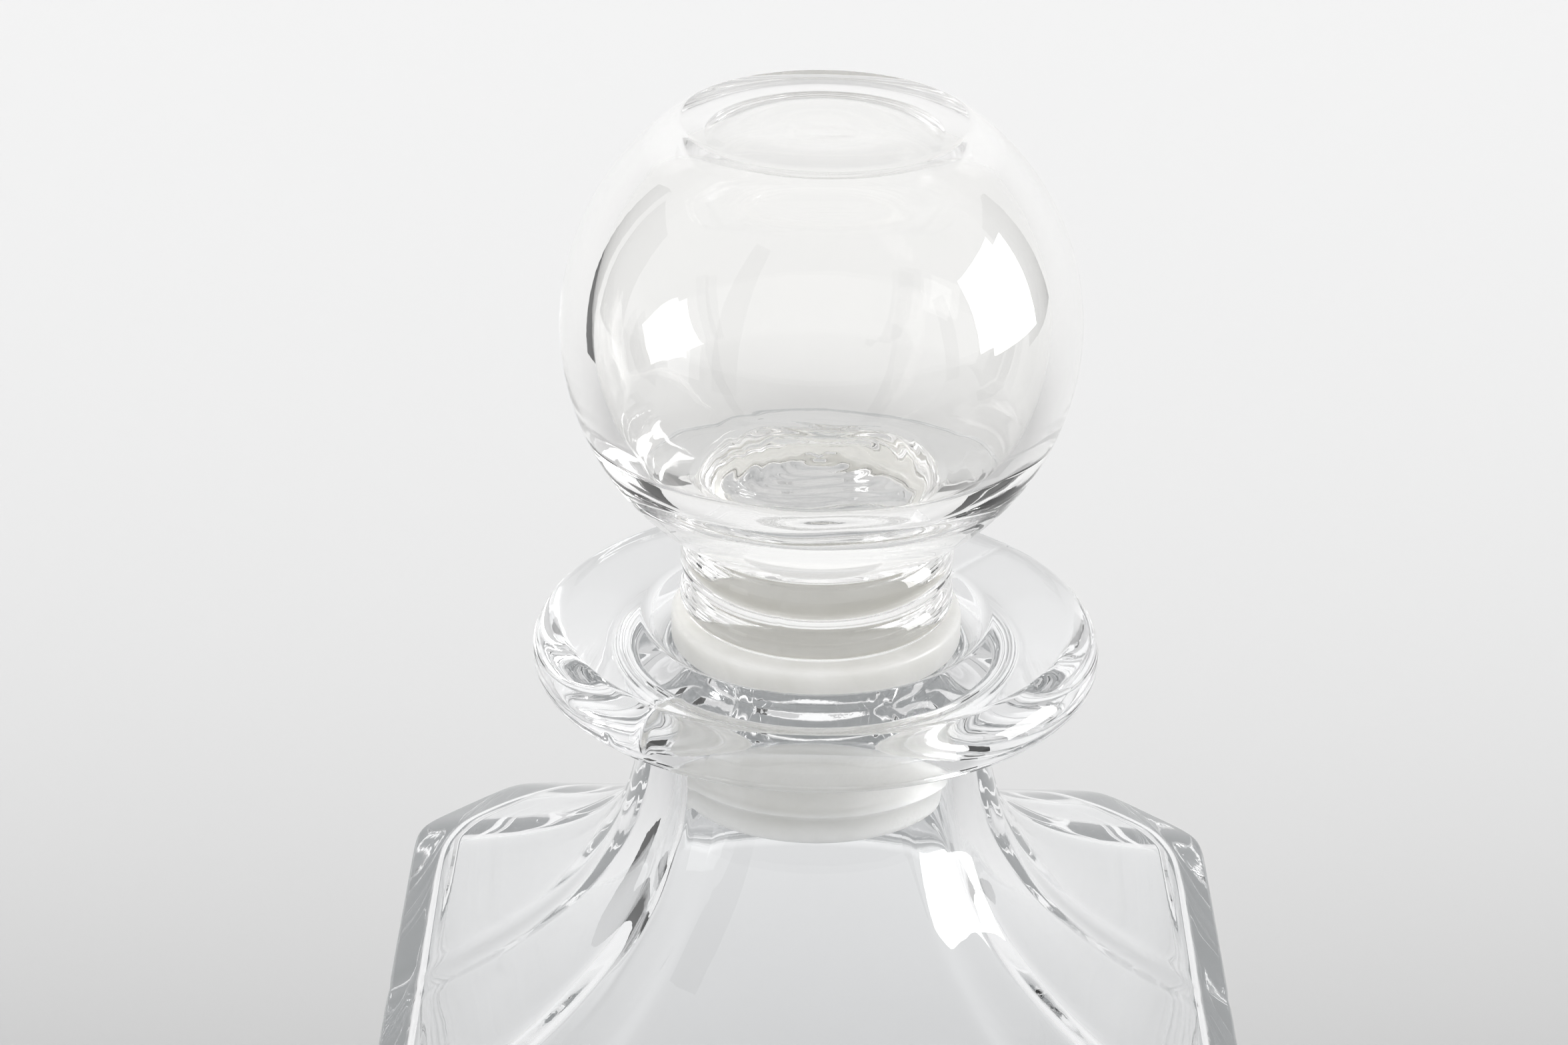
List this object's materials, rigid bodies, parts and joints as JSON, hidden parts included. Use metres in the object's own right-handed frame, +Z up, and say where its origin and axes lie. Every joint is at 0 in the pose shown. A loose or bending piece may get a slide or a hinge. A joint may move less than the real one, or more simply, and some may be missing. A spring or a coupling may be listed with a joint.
{
  "type": "square glass decanter",
  "caption": "Square clear glass spirit decanter with cut corners, flared shoulder, wide flat lip and a hollow ball stopper in a milky plastic gasket.",
  "frame": {"origin": "on the table, under the middle of the base", "axes": "+Z up through the neck and the stopper; X and Y square to the flat sides"},
  "size_m": [0.09, 0.09, 0.2248],
  "materials": {
    "bottle_glass": "fire-polished clear moulded glass",
    "stopper_glass": "fire-polished clear blown glass with a flat-ground top",
    "gasket_plastic": "satin, translucent milky white polyethylene"
  },
  "bodies": {
    "bottle": {"bottle": "bottle_glass"},
    "gasket": {"gasket": "gasket_plastic"},
    "stopper": {"stopper": "stopper_glass"}
  },
  "joints": [
    {"name": "stopper_lift", "type": "slide", "parent": "bottle", "child": "gasket", "axis": [0, 0, 1], "range_m": [0, 0.03]},
    {"name": "stopper_turn", "type": "hinge", "parent": "gasket", "child": "stopper", "pos_m": [0, 0, 0.1714], "axis": [0, 0, 1], "continuous": true}
  ]
}
